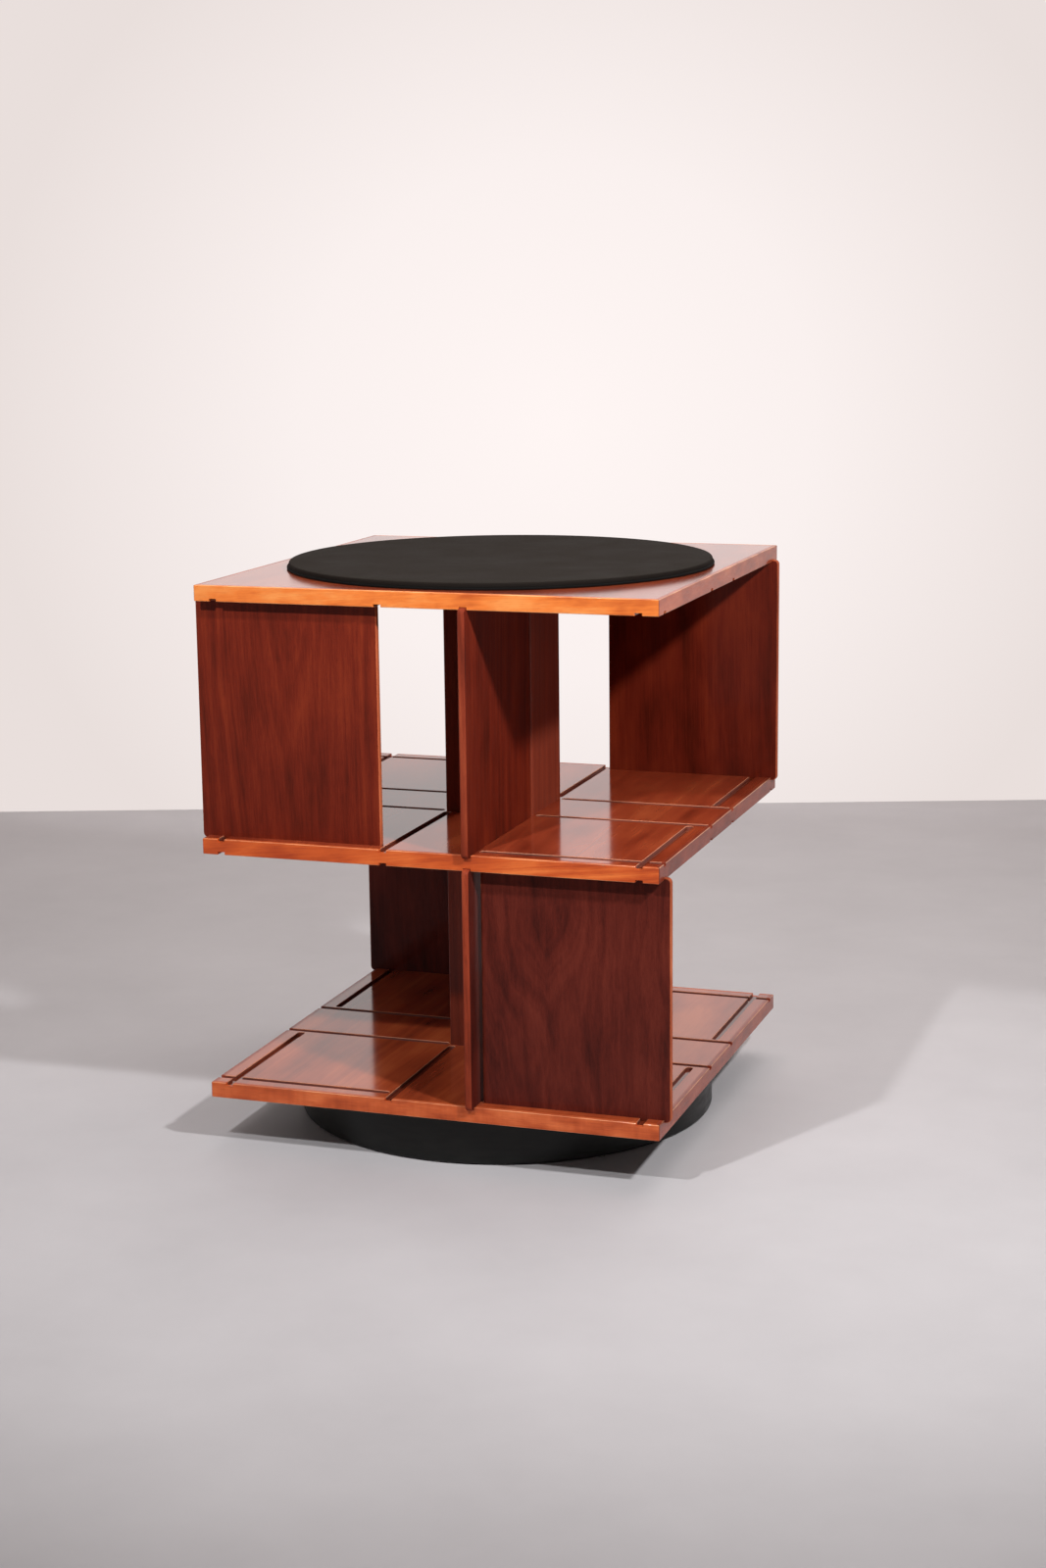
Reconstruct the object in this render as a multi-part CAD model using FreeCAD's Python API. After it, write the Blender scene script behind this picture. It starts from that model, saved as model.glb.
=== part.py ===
import FreeCAD, Part
import math
import os

# A square bookcase that turns on a round plinth. Three boards are held apart by a hollow square
# column at each level. Both faces of every bay carry the same pattern of stopped grooves, and
# loose panels slide into them from the edge of the case to make the divisions that are wanted.
# Millimetres. Z is up, the floor is at zero and the turning axis is the Z axis. The front is -Y.

# Boards
board_side = 650.0
board_thick = 22.0
bay_height = 327.0
board_arris = 1.2
board_lipping = 6.0

# Grooves in the boards, and the loose panels that slide in them
panel_thick = 10.0
panel_proud = 9.5
panel_gap = 5.5
panel_corner = 7.0
panel_round = 2.5
panel_lipping = 4.0
panel_side_clear = 0.2
panel_head_clear = 0.6
panel_end_clear = 0.3
groove_depth = 4.0
groove_easing = 0.6
edge_inset = 27.5

# Column, and the dowels that fix it to the boards
column_side = 130.0
column_wall = 10.0
column_round = 2.0
dowel_dia = 6.0
dowel_in_column = 15.0
dowel_web = 3.0
glue_clear = 0.1

# Spindle that the case turns on, with its flange, bushes, washer and nut
spindle_dia = 16.0
spindle_run_clear = 0.08
spindle_free_clear = 2.0
flange_dia = 120.0
flange_thick = 6.0
flange_screw_circle = 84.0
flange_screw_count = 4
bush_wall = 5.0
nut_flats = 24.0
nut_sides = 6
nut_height = 7.0
washer_dia = 34.0
washer_thick = 2.5
washer_clear = 0.3
pocket_clear = 3.0
spindle_recess = 1.0

# Ring of balls that carries the case
race_dia = 180.0
race_width = 36.0
race_thick = 5.0
race_gap = 2.0
ball_dia = 8.0
ball_count = 24
ball_clear = 0.25
cage_width = 15.0
cage_thick = 1.0
race_screw_count = 6

# Countersunk wood screws
screw_dia = 4.5
screw_head_dia = 8.5
screw_cover = 6.0

# Plinth
plinth_dia = 603.0
plinth_height = 62.0
plinth_arris = 2.0
skirt_wall = 17.0
skirt_ledge = 9.0
deck_thick = 20.0
glide_dia = 13.0
glide_height = 2.0
glide_count = 8

# Loose round pad on the top board
pad_dia = 606.0
pad_base_thick = 4.0
pad_cover_thick = 6.5
pad_cover_inset = 2.0
pad_base_round = 1.5
pad_cover_round = 2.5

# Length that a cutting shape runs on past the surface it cuts
overcut = 2.0

# Sides of the case, anticlockwise from above
sides = ("front", "right", "back", "left")

# Levels
plinth_top = glide_height + plinth_height
deck_low = plinth_top - deck_thick
flange_low = deck_low - flange_thick
upper_race_low = plinth_top + race_gap
bottom_low = upper_race_low + race_thick
lower_bay_low = bottom_low + board_thick
middle_low = lower_bay_low + bay_height
upper_bay_low = middle_low + board_thick
top_low = upper_bay_low + bay_height
case_top = top_low + board_thick

# Plan sizes
board_half = board_side / 2
column_half = column_side / 2
groove_width = panel_thick + 2 * panel_side_clear
middle_line = column_half - panel_thick / 2
edge_line = board_half - edge_inset
panel_start = column_half + panel_gap
panel_finish = board_half + panel_proud
race_radius = race_dia / 2
race_screw_radius = race_radius + (ball_dia + race_width) / 4
spindle_radius = spindle_dia / 2
bush_radius = spindle_radius + spindle_run_clear + bush_wall
pocket_radius = washer_dia / 2 + pocket_clear
pocket_floor = case_top - spindle_recess - nut_height - washer_thick - washer_clear
screw_angle = math.radians(45)


def groove_stop():
    """Where a groove's round end must reach so that the panel's rounded end fits in it."""
    lift = panel_corner - min(groove_depth, panel_corner)
    drawn_in = panel_corner - math.sqrt(panel_corner ** 2 - lift ** 2)
    nose = groove_width / 2 - panel_round
    cheek = panel_thick / 2 - panel_round
    reach = nose - math.sqrt(nose ** 2 - cheek ** 2)
    return panel_start + drawn_in - reach - panel_end_clear


def box(x0, x1, y0, y1, z0, z1):
    return Part.makeBox(x1 - x0, y1 - y0, z1 - z0, FreeCAD.Vector(x0, y0, z0))


def rod(radius, z0, z1, x=0.0, y=0.0):
    return Part.makeCylinder(radius, z1 - z0, FreeCAD.Vector(x, y, z0))


def ring(inner, outer, z0, z1):
    return rod(outer, z0, z1).cut(rod(inner, z0 - overcut, z1 + overcut))


def turned(shape, degrees):
    copy = shape.copy()
    copy.rotate(FreeCAD.Vector(0, 0, 0), FreeCAD.Vector(0, 0, 1), degrees)
    return copy


def prism(corners, z0, z1):
    points = [FreeCAD.Vector(x, y, z0) for x, y in corners]
    return Part.Face(Part.makePolygon(points + points[:1])).extrude(FreeCAD.Vector(0, 0, z1 - z0))


def revolved(profile, x=0.0, y=0.0):
    """A solid of revolution about the upright axis at x, y, from points of radius and height."""
    points = [FreeCAD.Vector(x + r, y, z) for r, z in profile]
    face = Part.Face(Part.makePolygon(points + points[:1]))
    return face.revolve(FreeCAD.Vector(x, y, 0), FreeCAD.Vector(0, 0, 1), 360)


def around(shape, count, start=0.0):
    return [turned(shape, start + 360.0 * i / count) for i in range(count)]


def save(name, *solids):
    shape = solids[0] if len(solids) == 1 else Part.makeCompound(list(solids))
    shape.exportStep("parts/" + name + ".step")


def countersunk(radius, head_z, tip_z, clear=0.0):
    """A countersunk screw, or with a clearance its hole, on the +X side with its head at head_z."""
    way = 1 if tip_z > head_z else -1
    head = screw_head_dia / 2 + clear
    shank = screw_dia / 2 + clear
    neck_z = head_z + way * (screw_head_dia - screw_dia) / 2 * math.tan(screw_angle)
    end_z = tip_z + way * clear
    point_z = end_z - way * shank
    profile = [(0, head_z), (head, head_z), (shank, neck_z), (shank, point_z), (0, end_z)]
    return revolved(profile, radius)


def groove(line, face_z, way):
    """A stopped groove along +X, open at the board's edge, with eased top corners."""
    half = groove_width / 2
    eased = half + groove_easing
    above = face_z - way * overcut
    ease_z = face_z + way * groove_easing
    floor_z = face_z + way * groove_depth
    centre = groove_stop() + half
    side = [(eased, above), (eased, face_z), (half, ease_z), (half, floor_z)]
    outline = side + [(-y, z) for y, z in reversed(side)]
    points = [FreeCAD.Vector(centre, line + y, z) for y, z in outline]
    run = FreeCAD.Vector(board_half + overcut - centre, 0, 0)
    straight = Part.Face(Part.makePolygon(points + points[:1])).extrude(run)
    end = revolved([(0, above)] + side + [(0, floor_z)], centre, line)
    return straight.fuse(end)


def grooves(face_z, way):
    """The pattern of sixteen grooves on one face of a board."""
    cutters = []
    for line in (-edge_line, -middle_line, middle_line, edge_line):
        cutters += around(groove(line, face_z, way), len(sides))
    return cutters


def case_board(low, grooved_below, grooved_above):
    """A board with its lipping still in one piece, rounded and grooved."""
    high = low + board_thick
    blank = box(-board_half, board_half, -board_half, board_half, low, high)
    blank = blank.makeFillet(board_arris, blank.Edges)
    if grooved_below:
        blank = blank.cut(grooves(low, 1))
    if grooved_above:
        blank = blank.cut(grooves(high, -1))
    return blank


def split_board(blank, low):
    """The veneered middle of a board, and its four mitred lippings from the front anticlockwise."""
    z0 = low - overcut
    z1 = low + board_thick + overcut
    inner = board_half - board_lipping
    outer = board_half + overcut
    middle = blank.common(box(-inner, inner, -inner, inner, z0, z1))
    wedge = prism([(-outer, -outer), (outer, -outer), (inner, -inner), (-inner, -inner)], z0, z1)
    strips = [blank.common(side) for side in around(wedge, len(sides))]
    return middle, strips


def dowel(z0, z1, clear=0.0):
    place = column_half - column_wall / 2
    return rod(dowel_dia / 2 + clear, z0 - clear, z1 + clear, 0, -place)


def dowel_spans(bay_low):
    """Heights of the dowels at the foot and at the head of one level's column."""
    in_board = (board_thick - dowel_web) / 2
    bay_high = bay_low + bay_height
    foot = (bay_low - in_board, bay_low + dowel_in_column)
    head = (bay_high - dowel_in_column, bay_high + in_board)
    return [foot, head]


def dowels(bay_low, clear=0.0):
    made = []
    for z0, z1 in dowel_spans(bay_low):
        made += around(dowel(z0, z1, clear), len(sides))
    return made


def column(bay_low):
    """The four mitred walls of one level's column, from the front anticlockwise."""
    bay_high = bay_low + bay_height
    outside = box(-column_half, column_half, -column_half, column_half, bay_low, bay_high)
    upright = [e for e in outside.Edges if e.BoundBox.ZLength > bay_height / 2]
    outside = outside.makeFillet(column_round, upright)
    inner = column_half - column_wall
    tube = outside.cut(box(-inner, inner, -inner, inner, bay_low - overcut, bay_high + overcut))
    tube = tube.cut(dowels(bay_low, glue_clear))
    outer = column_half + overcut
    wedge = prism([(0, 0), (-outer, -outer), (outer, -outer)], bay_low, bay_high)
    return [tube.common(side) for side in around(wedge, len(sides))]


def panel(line, bay_low):
    """A loose panel along +X in the groove at the given line, and its two edge lippings."""
    z0 = bay_low - groove_depth
    z1 = bay_low + bay_height + groove_depth - panel_head_clear
    half = panel_thick / 2
    blank = box(panel_start, panel_finish, line - half, line + half, z0, z1)
    corners = [e for e in blank.Edges if e.BoundBox.YLength > half]
    blank = blank.makeFillet(panel_corner, corners)
    rims = [e for e in blank.Edges if e.BoundBox.YLength < half]
    blank = blank.makeFillet(panel_round, rims)
    start = panel_start + panel_lipping
    finish = panel_finish - panel_lipping
    y0 = line - panel_thick
    y1 = line + panel_thick
    middle = blank.common(box(start, finish, y0, y1, z0, z1))
    inner = blank.common(box(panel_start - overcut, start, y0, y1, z0, z1))
    outer = blank.common(box(finish, panel_finish + overcut, y0, y1, z0, z1))
    return middle, inner, outer


def race(low, ball_z, screws):
    """A flat steel ring with a round track for the balls."""
    blank = ring(race_radius - race_width / 2, race_radius + race_width / 2, low, low + race_thick)
    track = Part.makeTorus(race_radius, ball_dia / 2 + ball_clear, FreeCAD.Vector(0, 0, ball_z))
    return blank.cut([track] + screws)


def rounded_disc(radius, low, high, top_round):
    disc = rod(radius, low, high)
    rim = [e for e in disc.Edges if e.BoundBox.ZLength < overcut and e.BoundBox.ZMin > (low + high) / 2]
    return disc.makeFillet(top_round, rim)


os.makedirs("parts", exist_ok=True)

# Screws, which the pieces that they pass through are cut by
lower_screws = around(countersunk(race_screw_radius, plinth_top, deck_low + screw_cover), race_screw_count)
lower_holes = around(
    countersunk(race_screw_radius, plinth_top, deck_low + screw_cover, glue_clear), race_screw_count
)
upper_tip = lower_bay_low - groove_depth - screw_cover
upper_screws = around(countersunk(race_screw_radius, upper_race_low, upper_tip), race_screw_count)
upper_holes = around(countersunk(race_screw_radius, upper_race_low, upper_tip, glue_clear), race_screw_count)
flange_tip = plinth_top - race_thick - screw_cover
flange_screw = countersunk(flange_screw_circle / 2, flange_low, flange_tip)
flange_hole = countersunk(flange_screw_circle / 2, flange_low, flange_tip, glue_clear)
flange_holes = around(flange_hole, flange_screw_count)
save("lower_race_screws", *lower_screws)
save("upper_race_screws", *upper_screws)
save("flange_screws", *around(flange_screw, flange_screw_count))

# Plinth
plinth_radius = plinth_dia / 2
skirt = ring(plinth_radius - skirt_wall, plinth_radius, glide_height, plinth_top)
rims = [e for e in skirt.Edges if e.BoundBox.XLength > plinth_dia - overcut and e.BoundBox.ZLength < overcut]
skirt = skirt.makeFillet(plinth_arris, rims)
ledge_radius = plinth_radius - skirt_wall + skirt_ledge
skirt = skirt.cut(rod(ledge_radius, deck_low, plinth_top + overcut))
save("plinth_skirt", skirt)
deck = ring(spindle_radius + glue_clear, ledge_radius - glue_clear, deck_low, plinth_top)
race_outer = race_radius + race_width / 2 + glue_clear
race_inner = race_radius - race_width / 2 - glue_clear
seat = ring(race_inner, race_outer, plinth_top - race_thick, plinth_top + overcut)
save("plinth_deck", deck.cut([seat] + lower_holes + flange_holes))
glide = rod(glide_dia / 2, 0, glide_height, plinth_radius - skirt_wall / 2)
save("floor_glides", *around(glide, glide_count))

# Spindle and what holds it
flange = ring(spindle_radius + glue_clear, flange_dia / 2, flange_low, deck_low)
save("spindle_flange", flange.cut(flange_holes))
spindle_top = case_top - spindle_recess
save("spindle", rod(spindle_radius, flange_low, spindle_top))
washer_low = pocket_floor + washer_clear
nut_low = washer_low + washer_thick
save("spindle_washer", ring(spindle_radius + glue_clear, washer_dia / 2, washer_low, nut_low))
nut_corner = nut_flats / math.sqrt(3)
nut_turns = [2 * math.pi * i / nut_sides for i in range(nut_sides)]
hexagon = [(nut_corner * math.cos(turn), nut_corner * math.sin(turn)) for turn in nut_turns]
nut_bore = rod(spindle_radius + glue_clear, nut_low - overcut, spindle_top + overcut)
save("spindle_nut", prism(hexagon, nut_low, spindle_top).cut(nut_bore))

# Ring of balls
ball_z = plinth_top + race_gap / 2
save("lower_race", race(plinth_top - race_thick, ball_z, lower_holes))
save("upper_race", race(upper_race_low, ball_z, upper_holes))
balls = around(Part.makeSphere(ball_dia / 2, FreeCAD.Vector(race_radius, 0, ball_z)), ball_count)
ball_rooms = around(rod(ball_dia / 2 + ball_clear, plinth_top, upper_race_low, race_radius), ball_count)
cage_low = ball_z - cage_thick / 2
cage = ring(race_radius - cage_width / 2, race_radius + cage_width / 2, cage_low, cage_low + cage_thick)
save("bearing_balls", *balls)
save("ball_cage", cage.cut(ball_rooms))

# Boards with their lippings
bush_room = bush_radius + glue_clear
bottom_cuts = dowels(lower_bay_low, glue_clear) + upper_holes
bottom_cuts.append(rod(bush_room, bottom_low - overcut, lower_bay_low + overcut))
middle_cuts = dowels(lower_bay_low, glue_clear) + dowels(upper_bay_low, glue_clear)
middle_cuts.append(rod(spindle_radius + spindle_free_clear, middle_low - overcut, upper_bay_low + overcut))
top_cuts = dowels(upper_bay_low, glue_clear)
top_cuts.append(rod(bush_room, top_low - overcut, pocket_floor))
top_cuts.append(rod(pocket_radius, pocket_floor, case_top + overcut))
boards = {
    "bottom": (bottom_low, False, True, bottom_cuts),
    "middle": (middle_low, True, True, middle_cuts),
    "top": (top_low, True, False, top_cuts),
}
for level, (low, grooved_below, grooved_above, cuts) in boards.items():
    middle, strips = split_board(case_board(low, grooved_below, grooved_above), low)
    save(level + "_board", middle.cut(cuts))
    for side, strip in zip(sides, strips):
        save(level + "_lipping_" + side, strip)
bush_bore = spindle_radius + spindle_run_clear
save("lower_bush", ring(bush_bore, bush_radius, bottom_low, lower_bay_low))
save("upper_bush", ring(bush_bore, bush_radius, top_low, pocket_floor))

# Columns
for level, bay_low in (("lower", lower_bay_low), ("upper", upper_bay_low)):
    for side, wall in zip(sides, column(bay_low)):
        save(level + "_column_" + side, wall)
    save(level + "_column_dowels", *dowels(bay_low))

# Loose panels, each made in a groove along +X and turned so that its open end faces the side named
places = {
    "upper_front_left": (upper_bay_low, edge_line, "left"),
    "upper_centre_front": (upper_bay_low, middle_line, "front"),
    "upper_back_right": (upper_bay_low, edge_line, "right"),
    "upper_centre_back": (upper_bay_low, middle_line, "back"),
    "lower_front_right": (lower_bay_low, -edge_line, "right"),
    "lower_centre_front": (lower_bay_low, middle_line, "front"),
    "lower_back_left": (lower_bay_low, -edge_line, "left"),
    "lower_centre_back": (lower_bay_low, middle_line, "back"),
}
for name, (bay_low, line, heading) in places.items():
    turn = 360.0 * (sides.index(heading) - sides.index("right")) / len(sides)
    middle, inner, outer = [turned(piece, turn) for piece in panel(line, bay_low)]
    save(name + "_panel", middle)
    save(name + "_panel_lipping", inner, outer)

# Loose pad
pad_base_top = case_top + pad_base_thick
pad_top = pad_base_top + pad_cover_thick
save("pad_base", rounded_disc(pad_dia / 2, case_top, pad_base_top, pad_base_round))
save("pad_cover", rounded_disc(pad_dia / 2 - pad_cover_inset, pad_base_top, pad_top, pad_cover_round))

print("overall height", round(pad_top, 2), "groove stop", round(groove_stop(), 2))
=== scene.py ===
import math

import bmesh
import bpy
from mathutils import Euler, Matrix, Quaternion, Vector, noise


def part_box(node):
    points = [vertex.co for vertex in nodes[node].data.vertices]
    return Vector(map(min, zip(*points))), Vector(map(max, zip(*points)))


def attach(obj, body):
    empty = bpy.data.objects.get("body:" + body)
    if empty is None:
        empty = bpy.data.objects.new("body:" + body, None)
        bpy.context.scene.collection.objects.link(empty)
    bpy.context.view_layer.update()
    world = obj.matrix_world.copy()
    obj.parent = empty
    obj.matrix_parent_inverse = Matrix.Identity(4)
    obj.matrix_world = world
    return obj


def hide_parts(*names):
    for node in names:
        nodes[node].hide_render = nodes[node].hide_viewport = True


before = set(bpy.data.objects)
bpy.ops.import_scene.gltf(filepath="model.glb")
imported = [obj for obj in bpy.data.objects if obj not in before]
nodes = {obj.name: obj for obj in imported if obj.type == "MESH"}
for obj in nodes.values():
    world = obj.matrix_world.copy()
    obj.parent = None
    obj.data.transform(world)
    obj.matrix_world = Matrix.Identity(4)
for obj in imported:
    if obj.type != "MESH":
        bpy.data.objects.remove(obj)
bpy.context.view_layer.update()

# The looks of a bookcase that turns on a round plinth: a finish for every piece of the frame, the felt pad,
# and a plain stage with its lamps and camera. Metres. Z is up and is the turning axis. The front is -Y.

# Camera, in metres and degrees, with its focal length in pixels of the whole picture
picture_height = 1600
focal_pixels = 2656.7
sensor_height = 36.0
camera_eye = Vector((1.217, -3.4825, 1.2186))
camera_heading = 18.83
camera_dip = 11.449
camera_roll = -0.663

# Stage
wall_behind = 2.08
wall_width = 14.0
wall_height = 4.5
# Where the wall's painted glow is brightest, and how far it reaches
wall_glow_aside = 0.11
wall_glow_height = 0.86
wall_glow_reach = 5.0
floor_side = 30.0
floor_fade_behind = 0.5
floor_fade_from = 2.0
floor_fade_full = 3.6

# Lamps, and the room's own light
front_lamp_place = Vector((-0.251, -1.593, 1.653))
front_lamp_size = 0.075
front_lamp_power = 9.9
side_lamp_place = Vector((1.57, -1.22, 1.816))
side_lamp_size = 0.14
side_lamp_power = 19.6
lamp_spread = 120.0
lamp_aim = Vector((0.0, 0.0, 0.85))
lamp_tint = (0.98, 0.99, 1.0)
ceiling_lamp_place = Vector((0.3, 1.0, 3.2))
ceiling_lamp_size = 3.0
ceiling_lamp_power = 46.0
fill_lamp_place = Vector((-2.6, -1.2, 0.9))
fill_lamp_size = 2.0
fill_lamp_power = 4.0
wide_spread = 180.0
room_lamp_tint = (1.0, 0.95, 0.92)
room_light = 0.08

# Round pad
pad_segments = 192
pad_rings = 26
rim_steps = 8
cover_lean = 0.0008
cover_foot = 0.0006
cover_head = 0.0024
cover_crown = 0.0005
base_lean = 0.0
base_round = 0.0019
base_crown = 0.0
felt_swell = 0.00035
swell_scale = 9

# Felt
felt_fibre_scale = 900.0
felt_fibre_draw = 0.16
felt_fibre_height = 0.0004
felt_fibre_share = 0.6
felt_cloud_scale = 14.0
felt_cloud_share = 0.25
felt_mark_start = 0.025
rim_shade_reach = 0.002
rim_shade_share = 0.7

# Paint, metal, nylon and the floor: how fine their marks are, how strong, and how high they stand
peel_scale = 420.0
peel_height = 0.00006
paint_scuff_scale = 26.0
paint_scuff_stretch = (1, 1, 5)
paint_edge_reach = 0.002
paint_edge_rub = 0.5
tool_line_scale = 1400.0
tool_line_height = 0.00004
tool_line_share = 0.4
tarnish_scale = 45.0
tarnish_share = 0.6
tarnish_rough = 0.15
nylon_scuff_scale = 380.0
nylon_scuff_stretch = (1, 0.3, 1)
nylon_scuff_height = 0.0001
floor_cloud_scale = 3.0

# Marks in the wood: how fine each one is, how it is stretched across and along the grain, and where the
# deep, middle and pale tones lie among them
slow_sway_scale = 6.0
quick_sway_scale = 55.0
quick_sway_stretch = (1, 1, 0.12)
quick_sway_share = 1 / 7
cloud_stretch = (1, 1, 0.35)
fibre_scale = 950.0
fibre_stretch = (1, 1, 0.025)
pore_scale = 2300.0
pore_stretch = (1, 1, 0.03)
streak_scale = 260.0
streak_stretch = (1, 1, 0.012)
curl_scale = 120.0
curl_stretch = (0.1, 0.1, 1)
tone_stops = (0.28, 0.5, 0.72)

# Wood finishes, with the width of the boards' lippings and the depth and easing of their grooves
board_lipping = 0.006
groove_depth = 0.004
groove_easing = 0.0006
board_skin = 0.0008
panel_skin = 0.0003
stain_rise = 0.0004
mitre_line = 0.0008
arris_reach = 0.001
edge_reach = 0.0016
edge_wear_and_highlight = 0.35
groove_wear_and_highlight = 0.3
bare_rough = 0.6
lacquer_index = 1.46

# Cosine of a rounded normal's turn from the flat one, where an edge begins and where it is full
edge_turn_from = 0.99
edge_turn_full = 0.75

sides = ("front", "right", "back", "left")
quarter = math.pi / 2
grain_turns = {"x": (0, -quarter, 0), "y": (quarter, 0, 0), "z": (0, 0, 0)}


def seen(red, green, blue):
    """A colour as a screen shows it, as the linear values that a shader takes."""
    shares = [value / 255 for value in (red, green, blue)]
    linear = [s / 12.92 if s <= 0.04045 else ((s + 0.055) / 1.055) ** 2.4 for s in shares]
    return (*linear, 1.0)


room_tone = seen(243, 236, 233)
joint_stain = seen(60, 22, 14)
foot_stain = seen(38, 32, 29)
# Pale tone along arrises and groove edges: part wear, part painted highlight
pale_arris_wear_and_highlight = seen(250, 196, 150)
# Dark tone for the pad's rim: part cut felt, part painted shade on its side
rim_shade_felt = seen(8, 7, 7)


def start(name):
    """A new material with its node tree and its main shader."""
    material = bpy.data.materials.new(name)
    material.use_nodes = True
    tree = material.node_tree
    return material, tree, tree.nodes["Principled BSDF"]


def fill(tree, node, inputs):
    """Sets or links each named input of a node."""
    for name, value in inputs.items():
        if isinstance(value, bpy.types.NodeSocket):
            tree.links.new(value, node.inputs[name])
        else:
            node.inputs[name].default_value = value


def add(tree, kind, inputs, **settings):
    """A new shader node, with its settings made and its inputs filled."""
    node = tree.nodes.new("ShaderNode" + kind)
    for name, value in settings.items():
        setattr(node, name, value)
    fill(tree, node, inputs)
    return node


def calc(tree, operation, *values):
    """The result of one calculation on numbers or sockets."""
    return add(tree, "Math", dict(enumerate(values)), operation=operation).outputs[0]


def spread(tree, value, low, high, to_low=0.0, to_high=1.0):
    """A value from one range carried over to another, and held at its ends."""
    inputs = {"Value": value, "From Min": low, "From Max": high, "To Min": to_low, "To Max": to_high}
    return add(tree, "MapRange", inputs).outputs["Result"]


def here(tree):
    """A piece's own coordinates, in metres from the turning axis and the floor."""
    return add(tree, "TexCoord", {}).outputs["Object"]


def stretched(tree, place, shares):
    """Places scaled along X, Y and Z, so that a pattern on them is drawn out where a share is small."""
    return add(tree, "Mapping", {"Vector": place, "Scale": shares}).outputs["Vector"]


def speckle(tree, place, scale, detail=2.0, rough=0.5):
    """Uneven spots, as values about 0.5."""
    inputs = {"Vector": place, "Scale": scale, "Detail": detail, "Roughness": rough}
    return add(tree, "TexNoise", inputs).outputs["Fac"]


def ramp(tree, value, stops):
    """Colours placed along a value from 0 to 1."""
    node = add(tree, "ValToRGB", {"Fac": value})
    elements = node.color_ramp.elements
    while len(elements) < len(stops):
        elements.new(0.5)
    for element, (place, colour) in zip(elements, stops):
        element.position = place
        element.color = colour
    return node.outputs["Color"]


def mixed(tree, share, first, second):
    """The second colour laid over the first by a share."""
    # The node's colour inputs are 6 and 7, and its colour output is 2
    node = add(tree, "Mix", {"Factor": share}, data_type="RGBA")
    fill(tree, node, {6: first, 7: second})
    return node.outputs[2]


def bumped(tree, height, depth):
    """A surface raised by a pattern of heights, up to a depth in metres."""
    return add(tree, "Bump", {"Height": height, "Distance": depth}).outputs["Normal"]


def from_axis(tree, place):
    """How far a place lies from the Z axis."""
    level = add(tree, "VectorMath", {0: place, 1: (1, 1, 0)}, operation="MULTIPLY").outputs["Vector"]
    return add(tree, "VectorMath", {0: level}, operation="LENGTH").outputs["Value"]


def distance(tree, point):
    """How far a place on the stage lies from a point."""
    return add(tree, "VectorMath", {0: here(tree), 1: point}, operation="DISTANCE").outputs["Value"]


def edges(tree, reach):
    """1 along a piece's edges and 0 on its open faces."""
    rounded = add(tree, "Bevel", {"Radius": reach}, samples=4).outputs["Normal"]
    flat = add(tree, "NewGeometry", {}).outputs["Normal"]
    turn = add(tree, "VectorMath", {0: rounded, 1: flat}, operation="DOT_PRODUCT").outputs["Value"]
    return spread(tree, turn, edge_turn_from, edge_turn_full)


def grain_space(tree, run, heart, lean):
    """Places turned so that the grain runs along Z, with the middle of the log at the origin."""
    turn = Euler(grain_turns[run])
    offset = -(turn.to_matrix() @ Vector(heart))
    turned = add(tree, "Mapping", {"Vector": here(tree), "Rotation": turn, "Location": offset})
    leaned = add(tree, "Mapping", {"Vector": turned.outputs["Vector"], "Rotation": lean})
    return leaned.outputs["Vector"]


def growth_rings(tree, space, ring_width, sway, swirl):
    """The figure that the saw leaves where it cuts across a log's yearly rings."""
    slow = speckle(tree, stretched(tree, space, (1, 1, swirl)), slow_sway_scale)
    quick = speckle(tree, stretched(tree, space, quick_sway_stretch), quick_sway_scale)
    swayed = calc(tree, "MULTIPLY_ADD", slow, sway, from_axis(tree, space))
    swayed = calc(tree, "MULTIPLY_ADD", quick, sway * quick_sway_share, swayed)
    inputs = {"W": swayed, "Scale": 1 / ring_width, "Detail": 3.0, "Roughness": 0.6}
    return add(tree, "TexNoise", inputs, noise_dimensions="1D").outputs["Fac"]


def depth_inside(tree, node):
    """How far a place lies inside the two broad faces of a board or panel."""
    low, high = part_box(node)
    size = list(high - low)
    axis = size.index(min(size))
    place = add(tree, "SeparateXYZ", {"Vector": here(tree)}).outputs[axis]
    from_middle = calc(tree, "SUBTRACT", place, (low[axis] + high[axis]) / 2)
    return calc(tree, "SUBTRACT", size[axis] / 2, calc(tree, "ABSOLUTE", from_middle))


def sideways(tree):
    """How far a place lies from the turning axis along X and along Y."""
    place = add(tree, "SeparateXYZ", {"Vector": here(tree)}).outputs
    return [calc(tree, "ABSOLUTE", place[axis]) for axis in ("X", "Y")]


def mitre_shade(tree):
    """1 along the joints where two lippings meet at a corner of a board."""
    from_joint = calc(tree, "ABSOLUTE", calc(tree, "SUBTRACT", *sideways(tree)))
    return spread(tree, from_joint, mitre_line, 0.0)


def arris_wear_and_highlight_mask(tree, board):
    """1 along the rounded edges between a board's sides and its faces, where wear and a painted highlight go.
    """
    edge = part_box(board)[1].x + board_lipping
    from_side = calc(tree, "SUBTRACT", edge, calc(tree, "MAXIMUM", *sideways(tree)))
    deeper = calc(tree, "MAXIMUM", from_side, depth_inside(tree, board))
    return spread(tree, deeper, arris_reach, arris_reach / 2)


def eased_wear_and_highlight_mask(tree, depth):
    """1 on the eased groove edges, where wear and a painted highlight go, and 0 on a board's face and down
    inside the grooves.
    """
    off_face = spread(tree, depth, 0.0, groove_easing / 4)
    off_wall = spread(tree, depth, groove_easing * 1.5, groove_easing)
    return calc(tree, "MULTIPLY", off_face, off_wall)


def toned(tree, mark, tones):
    """The deep, middle and pale tones of a wood, laid out by its marks."""
    return ramp(tree, mark, list(zip(tone_stops, tones)))


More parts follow.
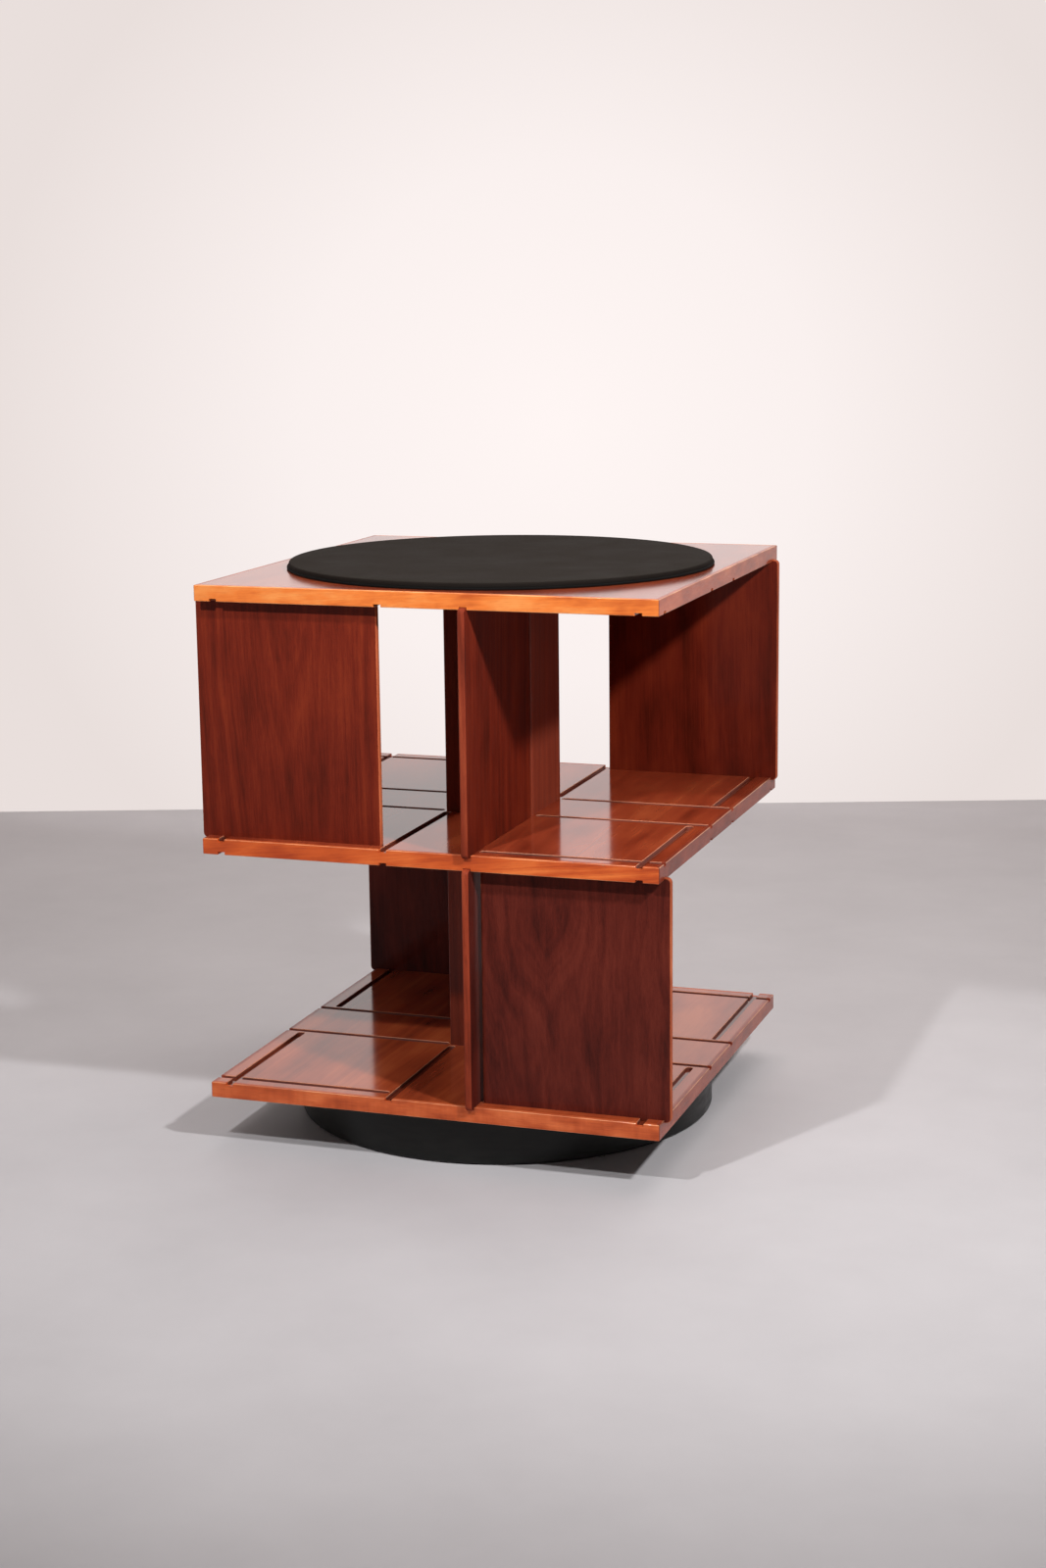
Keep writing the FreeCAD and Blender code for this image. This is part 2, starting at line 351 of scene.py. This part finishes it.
def wood(name, tones, run, heart, lean=(0, 0, 0), ring_width=0.012, sway=0.03, swirl=0.3, figure=0.3,
         streak=0.15, cloud=0.4, cloud_size=0.11, curl=0.0, fibre=0.2, pore=0.35, coat=1.0, polish=0.1,
         shine=0.08, rough=(0.42, 0.58), relief=0.0001, under=None, lipping_of=None, grooved=False,
         stained_foot=None):
    """Lacquered wood: yearly rings, streaks, fibres and pores along the grain, and rubbed edges that also
    carry a painted highlight.

    run is the axis that the grain follows, and heart is a point in the middle of the log. figure, streak,
    cloud, curl, fibre and pore are the strengths of the marks. under gives a node, the depth of its veneer
    and the tones below it: the wood at a panel's edges, and for a board the darker tones inside its grooves.
    lipping_of names the board that a lipping goes round. grooved is for a board with grooves. stained_foot
    gives the height of an underside that is stained dark.
    """
    material, tree, shader = start(name)
    deep, pale = tones[0], tones[-1]
    space = grain_space(tree, run, heart, lean)
    clouds = speckle(tree, stretched(tree, space, cloud_stretch), 1 / cloud_size, 3.0)
    fibres = speckle(tree, stretched(tree, space, fibre_stretch), fibre_scale)
    holes = speckle(tree, stretched(tree, space, pore_stretch), pore_scale, 1.0)
    pores = spread(tree, holes, 0.6, 0.72)
    layers = (
        (growth_rings(tree, space, ring_width, sway, swirl), figure),
        (speckle(tree, stretched(tree, space, streak_stretch), streak_scale, 3.0, 0.6), streak),
        (speckle(tree, stretched(tree, space, curl_stretch), curl_scale, 3.0), curl),
        (fibres, fibre),
        (clouds, cloud),
    )
    mark = 0.5 - sum(share for layer, share in layers) / 2
    for layer, share in layers:
        mark = calc(tree, "MULTIPLY_ADD", layer, share, mark)
    colour = toned(tree, mark, tones)
    dullness = spread(tree, fibres, 0.3, 0.7, *rough)
    if under:
        node, skin, core_tones = under
        depth = depth_inside(tree, node)
        below = spread(tree, depth, skin / 2, skin * 3 / 2)
        colour = mixed(tree, below, colour, toned(tree, mark, core_tones))
        worn = spread(tree, depth, 0.0, skin / 8)
        if grooved:
            off_floor = spread(tree, depth, groove_depth, groove_depth - groove_easing)
            worn = calc(tree, "MULTIPLY", worn, off_floor)
        dullness = spread(tree, worn, 0.0, 1.0, dullness, bare_rough)
    colour = mixed(tree, calc(tree, "MULTIPLY", pores, pore), colour, deep)
    # The pale line on lipping arrises and groove edges is part wear and part painted highlight
    if lipping_of:
        patches = spread(tree, clouds, 0.3, 0.6, 0.1, 0.55)
        rubbed = calc(tree, "MULTIPLY", arris_wear_and_highlight_mask(tree, lipping_of), patches)
        colour = mixed(tree, rubbed, colour, pale_arris_wear_and_highlight)
        colour = mixed(tree, mitre_shade(tree), colour, joint_stain)
    elif grooved:
        rubbed = calc(tree, "MULTIPLY", eased_wear_and_highlight_mask(tree, depth), groove_wear_and_highlight)
        colour = mixed(tree, rubbed, colour, pale_arris_wear_and_highlight)
    else:
        # Pale rub on the edges: part wear, part painted highlight
        patches = calc(tree, "MULTIPLY", clouds, edge_wear_and_highlight)
        rubbed = calc(tree, "MULTIPLY", edges(tree, edge_reach), patches)
        colour = mixed(tree, rubbed, colour, pale)
    if stained_foot:
        height = add(tree, "SeparateXYZ", {"Vector": here(tree)}).outputs["Z"]
        stained = spread(tree, height, stained_foot + stain_rise, stained_foot)
        colour = mixed(tree, stained, colour, foot_stain)
    fill(tree, shader, {
        "Base Color": colour,
        "Roughness": dullness,
        "Normal": bumped(tree, calc(tree, "SUBTRACT", fibres, pores), relief),
        "Specular IOR Level": shine,
        "Coat Weight": coat,
        "Coat Roughness": polish,
        "Coat IOR": lacquer_index,
    })
    return material


def felt(name, deep, pale, sheen, rim_radius):
    """Pressed wool: matted fibres lying all ways, faint clouds, a soft sheen, and a darker rim that is part
    cut edge and part painted shade.
    """
    material, tree, shader = start(name)
    place = here(tree)
    long_way = speckle(tree, stretched(tree, place, (1, felt_fibre_draw, 1)), felt_fibre_scale)
    cross_way = speckle(tree, stretched(tree, place, (felt_fibre_draw, 1, 1)), felt_fibre_scale)
    matted = calc(tree, "MAXIMUM", long_way, cross_way)
    clouds = speckle(tree, place, felt_cloud_scale, 3.0)
    mark = calc(tree, "MULTIPLY_ADD", matted, felt_fibre_share, felt_mark_start)
    mark = calc(tree, "MULTIPLY_ADD", clouds, felt_cloud_share, mark)
    colour = ramp(tree, mark, ((0.3, deep), (0.72, pale)))
    # The rim is darkened: part the felt's cut edge, part painted shade on the pad's side
    cut = spread(tree, from_axis(tree, place), rim_radius - rim_shade_reach, rim_radius, 0.0, rim_shade_share)
    fill(tree, shader, {
        "Base Color": mixed(tree, cut, colour, rim_shade_felt),
        "Roughness": spread(tree, clouds, 0.3, 0.7, 0.8, 0.95),
        "Normal": bumped(tree, matted, felt_fibre_height),
        "Sheen Weight": sheen,
        "Sheen Roughness": 0.45,
        "Sheen Tint": pale,
        "Specular IOR Level": 0.08,
    })
    return material


def black_lacquer():
    """Satin black paint on the plinth, with a faint orange-peel surface and rubbed edges."""
    material, tree, shader = start("black_lacquer")
    place = here(tree)
    peel = speckle(tree, place, peel_scale)
    scuffs = speckle(tree, stretched(tree, place, paint_scuff_stretch), paint_scuff_scale, 5.0, 0.65)
    patches = calc(tree, "MULTIPLY", scuffs, paint_edge_rub)
    rubbed = calc(tree, "MULTIPLY", edges(tree, paint_edge_reach), patches)
    colour = ramp(tree, scuffs, ((0.35, seen(10, 10, 9)), (0.7, seen(19, 19, 17))))
    fill(tree, shader, {
        "Base Color": mixed(tree, rubbed, colour, seen(58, 55, 51)),
        "Roughness": spread(tree, scuffs, 0.35, 0.65, 0.3, 0.45),
        "Normal": bumped(tree, peel, peel_height),
        "Specular IOR Level": 0.22,
    })
    return material


def metal(name, deep, pale, rough, lines):
    """Turned or drawn metal with fine tool lines and a little tarnish."""
    material, tree, shader = start(name)
    place = here(tree)
    tooled = speckle(tree, stretched(tree, place, lines), tool_line_scale)
    tarnish = speckle(tree, place, tarnish_scale, 4.0)
    mark = calc(tree, "MULTIPLY_ADD", tarnish, tarnish_share, calc(tree, "MULTIPLY", tooled, tool_line_share))
    fill(tree, shader, {
        "Base Color": ramp(tree, mark, ((0.32, deep), (0.62, pale))),
        "Metallic": 1.0,
        "Roughness": spread(tree, mark, 0.3, 0.7, rough, rough + tarnish_rough),
        "Normal": bumped(tree, tooled, tool_line_height),
    })
    return material


def glide_nylon():
    """Dull grey nylon under the plinth, scuffed by the floor."""
    material, tree, shader = start("glide_nylon")
    scuffs = speckle(tree, stretched(tree, here(tree), nylon_scuff_stretch), nylon_scuff_scale, 4.0)
    fill(tree, shader, {
        "Base Color": ramp(tree, scuffs, ((0.35, seen(70, 68, 64)), (0.65, seen(112, 108, 102)))),
        "Roughness": spread(tree, scuffs, 0.3, 0.7, 0.5, 0.75),
        "Normal": bumped(tree, scuffs, nylon_scuff_height),
    })
    return material


def paint(material, *names):
    """Gives CAD nodes their finish."""
    for name in names:
        nodes[name].material_slots[0].material = material


def finish_boards():
    """Veneer on the three boards, with the grain from front to back, and their solid wood edges."""
    # Inside the grooves, below the veneer, the boards are given darker tones than their faces
    groove_tones = (seen(66, 23, 13), seen(102, 40, 23), seen(124, 54, 33))
    veneers = {
        "top": (seen(106, 37, 20), seen(148, 60, 33), seen(174, 83, 47)),
        "middle": (seen(108, 37, 21), seen(158, 64, 37), seen(190, 89, 51)),
        "bottom": (seen(124, 47, 25), seen(172, 75, 40), seen(203, 101, 55)),
    }
    hearts = {"top": (0.1, 0, 0.5), "middle": (-0.05, 0, 0.2), "bottom": (0.2, 0, -0.1)}
    lacquers = {
        "top": dict(shine=0.95, rough=(0.15, 0.18), coat=0.35),
        "middle": dict(shine=0.82, rough=(0.1, 0.12), coat=0.0),
        "bottom": dict(shine=0.82, rough=(0.1, 0.12), coat=0.0),
    }
    # The lippings along the sides, running along Y, are given darker tones than those across the front and
    # back
    edge_tones = {
        "x": {
            "top": (seen(178, 80, 29), seen(214, 114, 47), seen(222, 138, 71)),
            "middle": (seen(161, 60, 28), seen(200, 87, 38), seen(229, 120, 58)),
            "bottom": (seen(162, 66, 34), seen(201, 92, 48), seen(228, 120, 69)),
        },
        "y": {
            "top": (seen(128, 51, 29), seen(161, 70, 40), seen(185, 94, 57)),
            "middle": (seen(103, 39, 23), seen(137, 55, 34), seen(163, 74, 45)),
            "bottom": (seen(115, 46, 30), seen(152, 64, 40), seen(178, 84, 53)),
        },
    }
    edge_coats = {"x": 0.3, "y": 0.65}
    edge_figures = {
        "top": dict(lean=(0.0, 0.05, 0.0), ring_width=0.006, figure=0.3, streak=0.08, cloud=1.1,
                    cloud_size=0.025),
        "middle": dict(lean=(0.0, 0.12, 0.0), ring_width=0.005, figure=0.35, streak=0.15, cloud=0.8,
                       cloud_size=0.03),
        "bottom": dict(ring_width=0.012, figure=0.15, streak=0.06, cloud=0.8, cloud_size=0.02, curl=0.2),
    }
    for level in veneers:
        name = level + "_board"
        low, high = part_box(name)
        board = wood(name + "_veneer", veneers[level], "y", hearts[level], lean=(0.02, 0, 0),
                     ring_width=0.016, figure=0.25, streak=0.1, cloud=0.8, cloud_size=0.07, fibre=0.06,
                     pore=0.1, polish=0.15, relief=0.000001, under=(name, board_skin, groove_tones),
                     grooved=True, stained_foot=low.z if level == "bottom" else None, **lacquers[level])
        paint(board, name)
        for side in sides:
            run = "x" if side in ("front", "back") else "y"
            edge = wood(f"{level}_edge_{side}", edge_tones[run][level], run, (0.1, -0.3, high.z + 0.02),
                        coat=edge_coats[run], lipping_of=name, **edge_figures[level])
            paint(edge, f"{level}_lipping_{side}")


def finish_columns():
    """Veneer on the column walls, and plain beech dowels inside them."""
    veneer = (seen(76, 28, 19), seen(120, 49, 33), seen(150, 66, 43))
    column = wood("column_veneer", veneer, "z", (0.4, 0.3, 0), coat=0.2)
    paint(column, *[f"{level}_column_{side}" for level in ("lower", "upper") for side in sides])
    beech = (seen(170, 130, 88), seen(201, 163, 118), seen(222, 190, 148))
    dowel = wood("dowel_beech", beech, "z", (0.2, 0.2, 0), ring_width=0.002, coat=0.0)
    paint(dowel, "lower_column_dowels", "upper_column_dowels")


def finish_panels():
    """Each loose panel is cut from its own place in the log, so that each has its own figure."""
    red = (seen(70, 20, 10), seen(102, 31, 17), seen(124, 44, 23))
    dark = (seen(58, 21, 17), seen(90, 33, 25), seen(109, 44, 33))
    red_edge = (seen(92, 33, 20), seen(129, 50, 31), seen(154, 69, 43))
    warm_edge = (seen(105, 39, 24), seen(147, 59, 37), seen(174, 80, 51))
    orange_edge = (seen(134, 58, 34), seen(178, 88, 55), seen(206, 114, 74))
    straight = dict(lean=(0.02, 0.02, 0), ring_width=0.014, sway=0.06, figure=0.4, cloud=0.7)
    flame = dict(lean=(-0.12, 0.03, 0), ring_width=0.018, sway=0.12, swirl=0.5, figure=0.5, cloud=0.6)
    mild_flame = dict(lean=(-0.05, 0.02, 0), ring_width=0.01, sway=0.05, figure=0.35, cloud=0.6)
    cuts = {
        "upper_front_left": (red, orange_edge, (-0.19, -0.262, 0.6), mild_flame),
        "upper_centre_front": (red, red_edge, (0.2, -0.5, 0.3), straight),
        "upper_back_right": (red, orange_edge, (0.1, 0.6, 0.2), straight),
        "upper_centre_back": (red, red_edge, (-0.25, 0.4, 0.1), straight),
        "lower_front_right": (dark, orange_edge, (0.175, -0.262, 0.25), flame),
        "lower_centre_front": (dark, warm_edge, (0.3, -0.45, 0.1), straight),
        "lower_back_left": (dark, orange_edge, (-0.35, 0.5, 0.3), straight),
        "lower_centre_back": (dark, red_edge, (0.2, 0.35, 0.2), straight),
    }
    for place, (face, edge, heart, cut) in cuts.items():
        name = place + "_panel"
        veneer = wood(name + "_veneer", face, "z", heart, streak=0.3, cloud_size=0.05, coat=0.12,
                      shine=0.03, under=(name, panel_skin, edge), **cut)
        paint(veneer, name, name + "_lipping")


def finish_plinth_and_spindle():
    """Black paint on the plinth, and bare metal on what the case turns on."""
    paint(black_lacquer(), "plinth_skirt", "plinth_deck")
    paint(glide_nylon(), "floor_glides")
    steel = metal("zinc_steel", seen(120, 122, 124), seen(176, 177, 178), 0.28, (1, 1, 0.1))
    paint(steel, "spindle", "spindle_flange", "spindle_washer", "spindle_nut", "lower_race", "upper_race")
    paint(steel, "flange_screws", "lower_race_screws", "upper_race_screws")
    ball_steel = metal("ball_steel", seen(168, 169, 172), seen(205, 206, 208), 0.1, (1, 1, 1))
    paint(ball_steel, "bearing_balls")
    brass = metal("drawn_brass", seen(150, 112, 52), seen(201, 160, 86), 0.25, (1, 1, 0.1))
    paint(brass, "ball_cage", "lower_bush", "upper_bush")


def add_object(name, data):
    """A new object in the scene."""
    made = bpy.data.objects.new(name, data)
    bpy.context.scene.collection.objects.link(made)
    return made


def add_mesh(name, shape, material):
    """A new object in the scene with the mesh of a finished shape."""
    mesh = bpy.data.meshes.new(name)
    shape.to_mesh(mesh)
    shape.free()
    mesh.materials.append(material)
    return add_object(name, mesh)


def rim(radius, low, high, lean, foot, head):
    """Points up the edge of a soft disc, from its rounded foot to its rounded upper edge."""
    turns = [quarter * step / rim_steps for step in range(rim_steps + 1)]
    foot_arc = [(radius - foot + foot * math.sin(t), low + foot - foot * math.cos(t)) for t in turns]
    inset = radius - lean - head
    head_arc = [(inset + head * math.cos(t), high - head + head * math.sin(t)) for t in turns]
    return foot_arc + head_arc


def soft_disc(name, node, lean, foot, head, crown, material):
    """A round felt layer turned about the spindle's line, with a soft edge and a faintly uneven top."""
    low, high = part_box(node)
    edge = rim(high.x, low.z, high.z - crown, lean, foot, head)
    foot_reach, head_reach = edge[0][0], edge[-1][0]
    shares = [ring / pad_rings for ring in range(pad_rings)]
    under = [(foot_reach * share, low.z) for share in shares]
    upper = [(head_reach * share, high.z - crown * share ** 4) for share in reversed(shares)]
    shape = bmesh.new()
    points = [shape.verts.new((x, 0, z)) for x, z in under + edge + upper]
    lines = [shape.edges.new(pair) for pair in zip(points, points[1:])]
    bmesh.ops.spin(shape, geom=points + lines, cent=(0, 0, 0), axis=(0, 0, 1), angle=2 * math.pi,
                   steps=pad_segments, use_merge=True)
    bmesh.ops.remove_doubles(shape, verts=shape.verts, dist=1e-6)
    bmesh.ops.recalc_face_normals(shape, faces=shape.faces)
    for vert in shape.verts:
        rise = (vert.co.z - low.z) / (high.z - low.z)
        swell = noise.noise(vert.co.xy.to_3d() * swell_scale) * felt_swell
        vert.co.z += min(swell, 0.0) * rise
    disc = add_mesh(name, shape, material)
    disc.data.shade_smooth()
    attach(disc, "pad")
    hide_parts(node)


def make_pad():
    """The loose pad on the top board: a thick felt cover on a thinner, slightly wider felt base."""
    cover_felt = felt("cover_felt", seen(19, 15, 12), seen(39, 33, 28), 0.12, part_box("pad_cover")[1].x)
    base_felt = felt("base_felt", seen(10, 9, 8), seen(20, 18, 16), 0.04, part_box("pad_base")[1].x)
    soft_disc("pad_cover_felt", "pad_cover", cover_lean, cover_foot, cover_head, cover_crown, cover_felt)
    soft_disc("pad_base_felt", "pad_base", base_lean, base_round, base_round, base_crown, base_felt)


def make_camera():
    """A camera at the photograph's viewing angle."""
    turn = math.radians(camera_heading)
    dip = math.radians(camera_dip)
    look = Vector((-math.sin(turn) * math.cos(dip), math.cos(turn) * math.cos(dip), -math.sin(dip)))
    roll = Quaternion((0, 0, 1), math.radians(camera_roll))
    lens = bpy.data.cameras.new("camera")
    # Blender lays the sensor's width along the longer side of the picture, which is its height
    lens.sensor_width = sensor_height
    lens.lens = sensor_height * focal_pixels / picture_height
    camera = add_object("camera", lens)
    camera.location = camera_eye
    camera.rotation_mode = "QUATERNION"
    camera.rotation_quaternion = look.to_track_quat("-Z", "Y") @ roll
    bpy.context.scene.camera = camera


def shown_rays(tree):
    """1 for rays that show the stage to the eye, straight or in a reflection."""
    rays = add(tree, "LightPath", {}).outputs
    straight_or_glossy = calc(tree, "MAXIMUM", rays["Is Camera Ray"], rays["Is Glossy Ray"])
    return calc(tree, "MAXIMUM", straight_or_glossy, rays["Is Transmission Ray"])


def floor_paint(fade_middle):
    """A pale floor that fades into the room's own tone far from the case."""
    material, tree, shader = start("floor_paint")
    clouds = speckle(tree, here(tree), floor_cloud_scale, 5.0, 0.6)
    fill(tree, shader, {
        "Base Color": ramp(tree, clouds, ((0.3, seen(204, 200, 202)), (0.7, seen(213, 209, 211)))),
        "Roughness": 0.55,
        "Specular IOR Level": 0.3,
    })
    far = spread(tree, distance(tree, fade_middle), floor_fade_from, floor_fade_full)
    faded = calc(tree, "MULTIPLY", far, shown_rays(tree))
    glow = add(tree, "Emission", {"Color": room_tone, "Strength": 1.0})
    both = add(tree, "MixShader", {0: faded, 1: shader.outputs[0], 2: glow.outputs[0]})
    tree.links.new(both.outputs[0], tree.nodes["Material Output"].inputs["Surface"])
    return material


def wall_paint(glow_place):
    """A pale wall that glows as painted light, brightest behind the case, and is seen from its front alone.
    """
    material, tree, shader = start("wall_paint")
    tone = ramp(tree, spread(tree, distance(tree, glow_place), 0.0, wall_glow_reach), (
        (0.0, seen(255, 246, 244)),
        (0.1125, seen(250, 241, 239)),
        (0.25, seen(233, 223, 220)),
        (0.6, seen(233, 223, 220)),
        (1.0, room_tone),
    ))
    fill(tree, shader, {"Base Color": tone, "Roughness": 0.9})
    glow = add(tree, "Emission", {"Color": tone, "Strength": 1.0})
    front = add(tree, "MixShader", {0: shown_rays(tree), 1: shader.outputs[0], 2: glow.outputs[0]})
    clear = add(tree, "BsdfTransparent", {})
    behind = add(tree, "NewGeometry", {}).outputs["Backfacing"]
    both = add(tree, "MixShader", {0: behind, 1: front.outputs[0], 2: clear.outputs[0]})
    tree.links.new(both.outputs[0], tree.nodes["Material Output"].inputs["Surface"])
    return material


def stage_sheet(name, corners, material):
    """A flat four-cornered sheet for the stage."""
    shape = bmesh.new()
    shape.faces.new([shape.verts.new(corner) for corner in corners])
    sheet = add_mesh(name, shape, material)


def make_stage():
    """A floor under the case, and a wall behind it that faces the camera."""
    turn = math.radians(camera_heading)
    along = Vector((-math.sin(turn), math.cos(turn), 0))
    aside = Vector((math.cos(turn), math.sin(turn), 0))
    half = floor_side / 2
    floor_corners = [(-half, -half, 0), (half, -half, 0), (half, half, 0), (-half, half, 0)]
    stage_sheet("floor", floor_corners, floor_paint(along * floor_fade_behind))
    across = aside * wall_width / 2
    foot = along * wall_behind
    rise = Vector((0, 0, wall_height))
    glow_place = foot + aside * wall_glow_aside + Vector((0, 0, wall_glow_height))
    wall_corners = [foot - across, foot + across, foot + across + rise, foot - across + rise]
    stage_sheet("wall", wall_corners, wall_paint(glow_place))


def lamp(name, place, size, power, tint, spread_angle):
    """A round lamp turned towards the case."""
    light = bpy.data.lights.new(name, "AREA")
    light.shape = "DISK"
    light.size = size
    light.energy = power
    light.color = tint
    light.spread = math.radians(spread_angle)
    holder = add_object(name, light)
    holder.location = place
    holder.rotation_mode = "QUATERNION"
    holder.rotation_quaternion = (lamp_aim - place).to_track_quat("-Z", "Y")


def make_light():
    """Two small lamps that cast the shadows, two wide ones that soften them, and a dim pale room."""
    lamp("front_lamp", front_lamp_place, front_lamp_size, front_lamp_power, lamp_tint, lamp_spread)
    lamp("side_lamp", side_lamp_place, side_lamp_size, side_lamp_power, lamp_tint, lamp_spread)
    lamp("ceiling_lamp", ceiling_lamp_place, ceiling_lamp_size, ceiling_lamp_power, room_lamp_tint,
         wide_spread)
    lamp("fill_lamp", fill_lamp_place, fill_lamp_size, fill_lamp_power, room_lamp_tint, wide_spread)
    world = bpy.data.worlds.new("room")
    world.use_nodes = True
    tree = world.node_tree
    strength = spread(tree, shown_rays(tree), 0.0, 1.0, room_light, 1.0)
    fill(tree, tree.nodes["Background"], {"Color": room_tone, "Strength": strength})
    bpy.context.scene.world = world


make_camera()
make_stage()
make_light()
finish_boards()
finish_columns()
finish_panels()
finish_plinth_and_spindle()
make_pad()

bpy.context.scene.view_settings.view_transform = "Standard"
